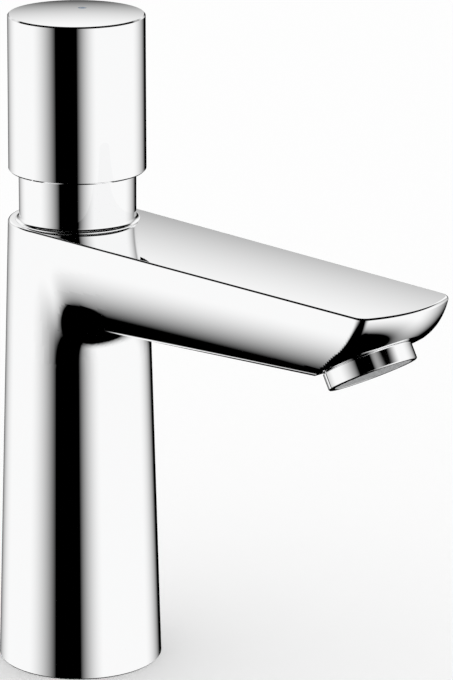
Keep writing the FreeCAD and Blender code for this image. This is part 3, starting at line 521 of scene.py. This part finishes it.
def inner_faces():
    """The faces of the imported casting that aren't on its outside: its bores, ways and threads."""
    mesh = frame["nodes"]["body_casting"].data
    points = casting_points()
    middles = np.array([polygon.center[:] for polygon in mesh.polygons]) / MM
    away, _ = from_axis(middles)
    above_cut = -(middles - SEAT) @ OUT_OF_SPOUT
    in_socket = (away < SOCKET_RADIUS + TOUCH) & (above_cut > TOUCH) & (above_cut < SOCKET_MOUTH)
    deep = np.minimum(column_field(middles)[0], spout_field(middles)[0]) < -SKIN_DEPTH
    at_end = (middles[:, 2] < TOUCH) | (middles[:, 2] > HEIGHT - TOUCH)
    corners, outs, faces = [], [], []
    for index in np.flatnonzero((deep | in_socket) & ~at_end):
        polygon = mesh.polygons[int(index)]
        start = len(corners)
        corners += [points[i] for i in polygon.vertices]
        outs += [polygon.normal[:]] * len(polygon.vertices)
        faces.append(list(range(start, start + len(polygon.vertices))))
    return np.array(corners), np.array(outs), faces


def casting():
    """The column and spout in one."""
    points, faces = casting_skin()
    middles = points[faces].mean(1)
    in_socket = from_axis(middles)[0] < SOCKET_RADIUS
    near_cut = abs((middles - SEAT) @ OUT_OF_SPOUT) < SOCKET_MOUTH
    faces = faces[~(in_socket & near_cut)]
    foot, socket, top = sorted(open_loops(faces), key=lambda loop: points[loop][:, 2].mean())
    points[socket] = onto_socket(points[socket])
    outs = polished(points, uncut_field(points)[1], faces)
    sheets = skin_and_cut(points, outs, faces)
    sheets += rounded_top(points[top], outs[top])
    sheets += chamfered_foot(points[foot])
    sheets.append(inner_faces())
    surface("body_skin", sheets, "chrome_plate", "tap_body", "body_casting")


# Turned pieces. An outline goes round with the material on its left: radius, height and corner round.

NECK_RADIUS = 17.53
NECK_TOP = HEIGHT + 36.0
KNOB_FOOT = HEIGHT + 15.15
KNOB_RIM = KNOB_FOOT + 47.03
KNOB_FOOT_RADIUS = 20.58
KNOB_TOP_RADIUS = 20.385
KNOB_BORE = 18.0
CAP_THICKNESS = 1.5
CAP_BEVEL = 0.45
CAP_CROWN = 355.0
CAP_EDGE = KNOB_TOP_RADIUS - CAP_BEVEL
CAP_SEAT = KNOB_RIM - CAP_THICKNESS
CROWN_CENTRE = KNOB_RIM - math.sqrt(CAP_CROWN**2 - CAP_EDGE**2)
MARK_FROM_AXIS = 5.9
MARK_TURN = math.radians(121)
MARK_PLACE = MARK_FROM_AXIS * np.array([math.cos(MARK_TURN), math.sin(MARK_TURN)])
MARK_POCKET = 1.25
MARK_DEPTH = 1.0
COLLAR_RADIUS = 13.15
COLLAR_LENGTH = 5.1
COLLAR_MOUTH_RADIUS = 11.4
COLLAR_MOUTH_DEPTH = 1.3
FINE = 0.08
ARC_STEP = 9
AROUND = 256


def corner_arc(corner, before, after, radius):
    """The round at a corner of an outline, or the corner alone, as a run of (radius, height, way out)."""
    turn = math.atan2(before[0] * after[1] - before[1] * after[0], before @ after)
    cut = radius * math.tan(abs(turn) / 2)
    side = 1 if turn > 0 else -1
    centre = corner - cut * before + side * radius * np.array([-before[1], before[0]])
    steps = max(2, round(abs(math.degrees(turn)) / ARC_STEP) + 1) if radius else 1
    arc = []
    for share in np.linspace(0, 1, steps):
        heading = math.atan2(before[1], before[0]) + turn * share
        out = np.array([math.sin(heading), -math.cos(heading)])
        place = centre + side * radius * out if radius else corner
        arc.append((*place, *out))
    return arc


def softened(outline):
    """The outline as runs of (radius, height, way out), with an arc at each corner that has a round."""
    corners = [np.array(corner[:2], float) for corner in outline]
    rounds = [corner[2] if len(corner) > 2 else 0 for corner in outline]
    arcs = []
    for i, (corner, radius) in enumerate(zip(corners, rounds)):
        before = corner - corners[i - 1]
        after = corners[(i + 1) % len(corners)] - corner
        before, after = before / np.linalg.norm(before), after / np.linalg.norm(after)
        arcs.append(corner_arc(corner, before, after, radius))
    runs = []
    for arc, following in zip(arcs, arcs[1:] + arcs[:1]):
        if len(arc) > 1:
            runs.append(arc)
        along = np.array(following[0][:2]) - np.array(arc[-1][:2])
        along /= np.linalg.norm(along)
        out = (along[1], -along[0])
        runs.append([(*arc[-1][:2], *out), (*following[0][:2], *out)])
    return runs


def circle():
    """Ways out all round in plan, at the steps that every turned piece has."""
    angles = np.arange(AROUND) * 2 * math.pi / AROUND
    return np.c_[np.cos(angles), np.sin(angles)]


def turned(runs):
    """Sheets turned about Z from runs."""
    around = np.c_[circle(), np.zeros(AROUND)]
    up = np.array([0, 0, 1])
    sheets = []
    for run in runs:
        points = np.concatenate([radius * around + height * up for radius, height, _, _ in run])
        outs = np.concatenate([across * around + rise * up for _, _, across, rise in run])
        faces = strips(np.arange(len(points)).reshape(len(run), -1))
        if run[0][0] == 0:
            faces = [face[1:] for face in faces]
        elif run[-1][0] == 0:
            faces = [face[:3] for face in faces]
        sheets.append((points, outs, faces))
    return sheets


def on_aerator_axis(sheets):
    """Sheets drawn about Z put on the aerator's axis, with their zero at the seat under the nose."""
    turn = np.array([[-math.cos(TILT), 0, -math.sin(TILT)], [0, 1, 0], OUT_OF_SPOUT])
    return [(points @ turn + SEAT, outs @ turn, faces) for points, outs, faces in sheets]


def neck():
    """The fixed tube under the knob, flared where it stands on the column."""
    spigot_foot, spigot_radius = HEIGHT - 6.3, 16.45
    flare_top, flare_radius, flare_round = HEIGHT + 0.2, NECK_RADIUS + 1.2, 1.15
    groove_foot, groove_top, groove_radius = HEIGHT + 30.0, HEIGHT + 34.0, NECK_RADIUS - 1.2
    shelf, narrow_bore, wide_bore = HEIGHT + 22.0, 12.5, 13.5
    outline = [
        (narrow_bore, spigot_foot),
        (spigot_radius, spigot_foot),
        (spigot_radius, HEIGHT),
        (flare_radius, HEIGHT),
        (flare_radius, flare_top, FINE),
        (NECK_RADIUS, flare_top, flare_round),
        (NECK_RADIUS, groove_foot),
        (groove_radius, groove_foot),
        (groove_radius, groove_top),
        (NECK_RADIUS, groove_top),
        (NECK_RADIUS, NECK_TOP, FINE),
        (wide_bore, NECK_TOP),
        (wide_bore, shelf),
        (narrow_bore, shelf),
    ]
    surface("neck_skin", turned(softened(outline)), "chrome_plate", "tap_body", "neck_sleeve")


def knob_radius(height):
    """The knob's outer radius at a height."""
    share = (height - KNOB_FOOT) / (KNOB_RIM - KNOB_FOOT)
    return KNOB_FOOT_RADIUS + (KNOB_TOP_RADIUS - KNOB_FOOT_RADIUS) * share


def knob():
    """The knob's skirt and cross web."""
    web_top, web_foot, web_bore = KNOB_RIM - 12.5, KNOB_RIM - 16.5, 6.05
    chamfer = 0.5
    outline = [
        (KNOB_BORE, KNOB_FOOT, FINE),
        (KNOB_FOOT_RADIUS - chamfer, KNOB_FOOT, FINE),
        (knob_radius(KNOB_FOOT + chamfer), KNOB_FOOT + chamfer, FINE),
        (knob_radius(CAP_SEAT), CAP_SEAT),
        (KNOB_BORE, CAP_SEAT),
        (KNOB_BORE, web_top),
        (web_bore, web_top),
        (web_bore, web_foot),
        (KNOB_BORE, web_foot),
    ]
    surface("knob_skin", turned(softened(outline)), "chrome_plate", "knob", "knob_shell")


def cap_sides():
    """The lid's underside, its spigot in the knob and its bevelled edge, as runs.

    The last two runs, the flat top and the line on the axis, are left out for the dome.
    """
    spigot, spigot_bore, spigot_foot = KNOB_BORE - 0.05, KNOB_BORE - 1.8, CAP_SEAT - 4.0
    outline = [
        (0, CAP_SEAT),
        (spigot_bore, CAP_SEAT),
        (spigot_bore, spigot_foot),
        (spigot, spigot_foot),
        (spigot, CAP_SEAT),
        (knob_radius(CAP_SEAT), CAP_SEAT),
        (knob_radius(KNOB_RIM - CAP_BEVEL), KNOB_RIM - CAP_BEVEL, FINE),
        (CAP_EDGE, KNOB_RIM, FINE),
        (0, KNOB_RIM),
    ]
    return softened(outline)[:-2]


def dome_height(across, aside):
    """Height of the lid's top at a place."""
    return CROWN_CENTRE + np.sqrt(CAP_CROWN**2 - across**2 - aside**2)


def dome(rim_radius, rim_height):
    """The lid's domed top, from its rim to the edge of the mark's pocket."""
    rings, crowding = 30, 0.7
    rim, pocket = rim_radius * circle(), MARK_PLACE + MARK_POCKET * circle()
    plan = [rim * (1 - share) + pocket * share for share in np.linspace(0, 1, rings) ** crowding]
    plan = np.concatenate(plan)
    heights = dome_height(plan[:, 0], plan[:, 1])
    heights[:AROUND] = rim_height
    points = np.c_[plan, heights]
    out = points - np.array([0, 0, CROWN_CENTRE])
    faces = strips(np.arange(len(points)).reshape(rings, -1))
    return points, out / np.linalg.norm(out, axis=-1)[:, None], faces


def mark_pocket(brim):
    """The wall and the floor of the small pocket that holds the mark."""
    floor_height = dome_height(*MARK_PLACE) - MARK_DEPTH
    wall = np.concatenate([brim, brim * (1, 1, 0) + (0, 0, floor_height)])
    inward = np.tile(np.c_[-circle(), np.zeros(AROUND)], (2, 1))
    bottom = np.concatenate([wall[AROUND:], [(*MARK_PLACE, floor_height)]])
    fan = [[i, (i + 1) % AROUND, AROUND] for i in range(AROUND)]
    return [
        (wall, inward, strips(np.arange(2 * AROUND).reshape(2, -1))),
        (bottom, np.tile([0.0, 0.0, 1.0], (AROUND + 1, 1)), fan),
    ]


def cap():
    """The domed lid with its pocket for the mark."""
    runs = cap_sides()
    top = dome(*runs[-1][-1][:2])
    sheets = [*turned(runs), top, *mark_pocket(top[0][-AROUND:])]
    surface("cap_skin", sheets, "chrome_plate", "knob", "knob_cap")


def collar():
    """The ring that holds the aerator's insert."""
    thread_radius, thread_end, bore = 11.95, -7.0, 10.6
    gap, chamfer = 0.05, 0.3
    step = COLLAR_LENGTH - COLLAR_MOUTH_DEPTH
    outline = [
        (bore, thread_end),
        (thread_radius, thread_end),
        (thread_radius, gap),
        (COLLAR_RADIUS - chamfer, gap, FINE),
        (COLLAR_RADIUS, gap + chamfer, FINE),
        (COLLAR_RADIUS, COLLAR_LENGTH - chamfer, FINE),
        (COLLAR_RADIUS - chamfer, COLLAR_LENGTH, FINE),
        (COLLAR_MOUTH_RADIUS, COLLAR_LENGTH, FINE),
        (COLLAR_MOUTH_RADIUS, step),
        (bore, step),
    ]
    sheets = on_aerator_axis(turned(softened(outline)))
    surface("collar_skin", sheets, "chrome_plate", "tap_body", "aerator_collar")


# The spring

SPRING_RADIUS = 6.8
SPRING_TURNS = 5
WIRE_RADIUS = 0.6
WIRE_STEPS = 200
WIRE_SIDES = 12


def spring():
    """The return spring, drawn as a fixed coil; the real one shortens towards its lower end when the knob is
    pressed.
    """
    low, high = [corner[2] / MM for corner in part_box("return_spring")]
    angle = np.linspace(0, SPRING_TURNS * 2 * math.pi, WIRE_STEPS)
    height = np.linspace(low + WIRE_RADIUS, high - WIRE_RADIUS, WIRE_STEPS)
    rise = (height[-1] - height[0]) / angle[-1] / SPRING_RADIUS
    out = np.c_[np.cos(angle), np.sin(angle), np.zeros(WIRE_STEPS)]
    across = np.c_[rise * np.sin(angle), -rise * np.cos(angle), np.ones(WIRE_STEPS)] / math.hypot(1, rise)
    centre = SPRING_RADIUS * out + height[:, None] * np.array([0, 0, 1])
    turn = np.arange(WIRE_SIDES) * 2 * math.pi / WIRE_SIDES
    ways = out[:, None] * np.cos(turn)[:, None] + across[:, None] * np.sin(turn)[:, None]
    wire = (centre[:, None] + WIRE_RADIUS * ways).reshape(-1, 3)
    faces = [face[::-1] for face in strips(np.arange(len(wire)).reshape(WIRE_STEPS, WIRE_SIDES))]
    along = np.cross(across, out)
    end = list(range(WIRE_SIDES))
    sheets = [
        (wire, ways.reshape(-1, 3), faces),
        (wire[:WIRE_SIDES], np.tile(-along[0], (WIRE_SIDES, 1)), [end]),
        (wire[-WIRE_SIDES:], np.tile(along[-1], (WIRE_SIDES, 1)), [end[::-1]]),
    ]
    coil = surface("spring_coil", sheets, "steel", "tap_body", "return_spring")
    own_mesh(coil)


# Finishes. Noise mostly lies between its two usual ends, and colour drifts over so many grains.

NOISE_ENDS = (0.3, 0.7)
DRIFT = 12


def blank_finish(name):
    """A new material, its node tree and its shader."""
    material = bpy.data.materials.new(name)
    material.use_nodes = True
    tree = material.node_tree
    return material, tree, tree.nodes["Principled BSDF"]


def cloud(tree, size):
    """Fine noise whose lumps are about so many millimetres."""
    place = tree.nodes.new("ShaderNodeTexCoord")
    noise = tree.nodes.new("ShaderNodeTexNoise")
    noise.inputs["Scale"].default_value = 1 / (size * MM)
    noise.inputs["Detail"].default_value = 3
    tree.links.new(place.outputs["Object"], noise.inputs["Vector"])
    return noise.outputs["Fac"]


def spread(tree, source, low, high):
    """Noise stretched over a range."""
    ramp = tree.nodes.new("ShaderNodeMapRange")
    ramp.inputs["From Min"].default_value, ramp.inputs["From Max"].default_value = NOISE_ENDS
    ramp.inputs["To Min"].default_value = low
    ramp.inputs["To Max"].default_value = high
    tree.links.new(source, ramp.inputs["Value"])
    return ramp.outputs["Result"]


def tint(tree, source, dark, light):
    """A colour that drifts between two."""
    mix = tree.nodes.new("ShaderNodeMix")
    mix.data_type = "RGBA"
    mix.inputs["A"].default_value = (*dark, 1)
    mix.inputs["B"].default_value = (*light, 1)
    tree.links.new(source, mix.inputs["Factor"])
    return mix.outputs["Result"]


def bumped(tree, shader, source, depth):
    """Relief of so many millimetres."""
    bump = tree.nodes.new("ShaderNodeBump")
    bump.inputs["Strength"].default_value = 1
    bump.inputs["Distance"].default_value = depth * MM
    tree.links.new(source, bump.inputs["Height"])
    tree.links.new(bump.outputs["Normal"], shader.inputs["Normal"])


def finish(slot, metal, dark, light, shine, grain, relief=0):
    """A material with colour that drifts, uneven gloss and fine relief."""
    material, tree, shader = blank_finish(slot)
    shader.inputs["Metallic"].default_value = metal
    fine = cloud(tree, grain)
    tree.links.new(tint(tree, cloud(tree, grain * DRIFT), dark, light), shader.inputs["Base Color"])
    tree.links.new(spread(tree, fine, *shine), shader.inputs["Roughness"])
    if relief:
        bumped(tree, shader, fine, relief)
    return material


# Two colours, the least and most roughness, and the grain and relief in millimetres
LOOKS = {
    "chrome_plate": {
        "metal": 1,
        "dark": (0.955, 0.957, 0.96),
        "light": (0.962, 0.963, 0.965),
        "shine": (0.012, 0.03),
        "grain": 0.5,
    },
    "blue_mark": {
        "metal": 0,
        "dark": (0.09, 0.15, 0.24),
        "light": (0.10, 0.17, 0.27),
        "shine": (0.2, 0.3),
        "grain": 0.1,
        "relief": 0.002,
    },
    "outlet_plastic": {
        "metal": 0,
        "dark": (0.48, 0.485, 0.49),
        "light": (0.56, 0.565, 0.57),
        "shine": (0.35, 0.5),
        "grain": 0.15,
        "relief": 0.01,
    },
    "inner_plastic": {
        "metal": 0,
        "dark": (0.68, 0.68, 0.65),
        "light": (0.75, 0.75, 0.72),
        "shine": (0.4, 0.55),
        "grain": 0.2,
        "relief": 0.01,
    },
    "rubber": {
        "metal": 0,
        "dark": (0.012, 0.012, 0.012),
        "light": (0.022, 0.022, 0.022),
        "shine": (0.55, 0.75),
        "grain": 0.2,
        "relief": 0.02,
    },
    "steel": {
        "metal": 1,
        "dark": (0.52, 0.52, 0.51),
        "light": (0.62, 0.62, 0.61),
        "shine": (0.22, 0.4),
        "grain": 0.12,
        "relief": 0.004,
    },
    "brass": {
        "metal": 1,
        "dark": (0.68, 0.5, 0.22),
        "light": (0.78, 0.6, 0.3),
        "shine": (0.2, 0.35),
        "grain": 0.12,
        "relief": 0.004,
    },
}
finishes = {slot: finish(slot, **look) for slot, look in LOOKS.items()}


def dress_solids():
    """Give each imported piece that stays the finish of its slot."""
    for subpart in frame["record"]["subparts"]:
        mesh = frame["nodes"][subpart["node"]].data
        mesh.materials.clear()
        mesh.materials.append(finishes[subpart["material_slot"]])


# Studio. Azimuths are counted in degrees from the way to the camera, positive to the camera's right.

CAMERA_PLACE = (0.7927, -0.7223, 0.4195)
CAMERA_YAW = 45.274
CAMERA_DOWN = 16.585
CAMERA_ROLL = 0.005
CAMERA_LENS = 195.94
CAMERA_AZIMUTH = -42.3
FLOOR_RADIUS = 8
FLOOR_SIDES = 96
FLOOR_GRAIN = 4


def camera():
    """The camera at the photograph's viewing angle."""
    data = bpy.data.cameras.new("camera")
    data.lens = CAMERA_LENS
    data.clip_end = 100
    item = bpy.data.objects.new("camera", data)
    bpy.context.scene.collection.objects.link(item)
    turn = Matrix.Rotation(math.radians(CAMERA_YAW), 4, "Z")
    tip = Matrix.Rotation(math.radians(90 - CAMERA_DOWN), 4, "X")
    roll = Matrix.Rotation(CAMERA_ROLL, 4, "Z")
    item.matrix_world = Matrix.Translation(CAMERA_PLACE) @ turn @ tip @ roll
    bpy.context.scene.camera = item


def floor():
    """A wide pale disc under the tap, in metres."""
    mesh = bpy.data.meshes.new("floor")
    disc = bmesh.new()
    bmesh.ops.create_circle(disc, cap_ends=True, segments=FLOOR_SIDES, radius=FLOOR_RADIUS)
    disc.to_mesh(mesh)
    disc.free()
    item = bpy.data.objects.new("floor", mesh)
    bpy.context.scene.collection.objects.link(item)
    material, tree, shader = blank_finish("floor")
    pale = tint(tree, cloud(tree, FLOOR_GRAIN), (0.985,) * 3, (0.99,) * 3)
    tree.links.new(pale, shader.inputs["Base Color"])
    shader.inputs["Roughness"].default_value = 0.9
    shader.inputs["Specular IOR Level"].default_value = 0
    mesh.materials.append(material)
    item.visible_glossy = False


class Studio:
    """The world's light: two tall soft boxes and a panel behind the tap, with dark between them.

    Nothing above the ceiling gives light. Mirrors see all this, the camera and dull surfaces plain white.
    """

    # Each soft edge is the angle at which it is dark, and the angle from which it is fully light
    LEFT_BOX = {"sides": ((-172, -122), (-35.8, -80)), "foot": (-31.6, -21.1)}
    RIGHT_BOX = {"sides": ((-0.2, 33), (152, 106)), "foot": (-56, -37)}
    PANEL_FOOT = (4.7, 18.5)
    PANEL_SIDE = (45, 25)
    CEILING = (34, 28)
    BRIGHT = 0.99
    EDGE_POWER = 1.6

    def __init__(self):
        world = bpy.data.worlds.new("studio")
        bpy.context.scene.world = world
        world.use_nodes = True
        world.cycles.sampling_method = "NONE"
        self.tree = world.node_tree
        self.tree.nodes.clear()
        way = self.add("ShaderNodeTexCoord").outputs["Generated"]
        parts = self.add("ShaderNodeSeparateXYZ")
        self.tree.links.new(way, parts.inputs["Vector"])
        x, y, z = parts.outputs
        self.lift = self.degrees(self.work_out("ARCSINE", z))
        aim = self.degrees(self.work_out("ARCTAN2", y, x))
        self.azimuth = self.work_out("WRAP", self.work_out("SUBTRACT", aim, CAMERA_AZIMUTH), 180, -180)
        self.from_behind = self.work_out("SUBTRACT", 180, self.work_out("ABSOLUTE", self.azimuth))

    def add(self, kind):
        """A new node of a kind."""
        return self.tree.nodes.new(kind)

    def work_out(self, operation, *values):
        """The result of one step of arithmetic on numbers and on results of other steps."""
        node = self.add("ShaderNodeMath")
        node.operation = operation
        for socket, value in zip(node.inputs, values):
            if isinstance(value, (int, float)):
                socket.default_value = value
            else:
                self.tree.links.new(value, socket)
        return node.outputs["Value"]

    def degrees(self, angle):
        """An angle in degrees."""
        return self.work_out("MULTIPLY", angle, 180 / math.pi)

    def edge(self, angle, dark, light):
        """Rises softly from 0 where it is dark to 1 where it is light."""
        ramp = self.add("ShaderNodeMapRange")
        ramp.inputs["From Min"].default_value = dark
        ramp.inputs["From Max"].default_value = light
        ramp.inputs["To Min"].default_value = 1
        ramp.inputs["To Max"].default_value = 0
        self.tree.links.new(angle, ramp.inputs["Value"])
        fall = self.work_out("POWER", ramp.outputs["Result"], self.EDGE_POWER)
        return self.work_out("SUBTRACT", 1, fall)

    def soft_box(self, sides, foot):
        """A tall box of light between two sides, from its foot up."""
        first, second = [self.edge(self.azimuth, *side) for side in sides]
        between = self.work_out("MULTIPLY", first, second)
        return self.work_out("MULTIPLY", between, self.edge(self.lift, *foot))

    def panel(self):
        """The panel behind the tap."""
        above_foot = self.edge(self.lift, *self.PANEL_FOOT)
        return self.work_out("MULTIPLY", above_foot, self.edge(self.from_behind, *self.PANEL_SIDE))

    def light(self):
        """Everything joined up to the world's output."""
        boxes = self.work_out("MAXIMUM", self.soft_box(**self.LEFT_BOX), self.soft_box(**self.RIGHT_BOX))
        seen = self.work_out("MAXIMUM", boxes, self.panel())
        seen = self.work_out("MULTIPLY", seen, self.edge(self.lift, *self.CEILING))
        seen = self.work_out("MULTIPLY", seen, self.BRIGHT)
        rays = self.add("ShaderNodeLightPath")
        mirror = self.work_out("MAXIMUM", rays.outputs["Is Glossy Ray"], rays.outputs["Is Transmission Ray"])
        plain = self.work_out("SUBTRACT", 1, mirror)
        strength = self.work_out("MULTIPLY_ADD", mirror, seen, plain)
        background = self.add("ShaderNodeBackground")
        background.inputs["Color"].default_value = (1, 1, 1, 1)
        self.tree.links.new(strength, background.inputs["Strength"])
        output = self.add("ShaderNodeOutputWorld")
        self.tree.links.new(background.outputs["Background"], output.inputs["Surface"])


bpy.context.scene.view_settings.view_transform = "Standard"
camera()
floor()
Studio().light()
dress_solids()
casting()
neck()
knob()
cap()
collar()
spring()
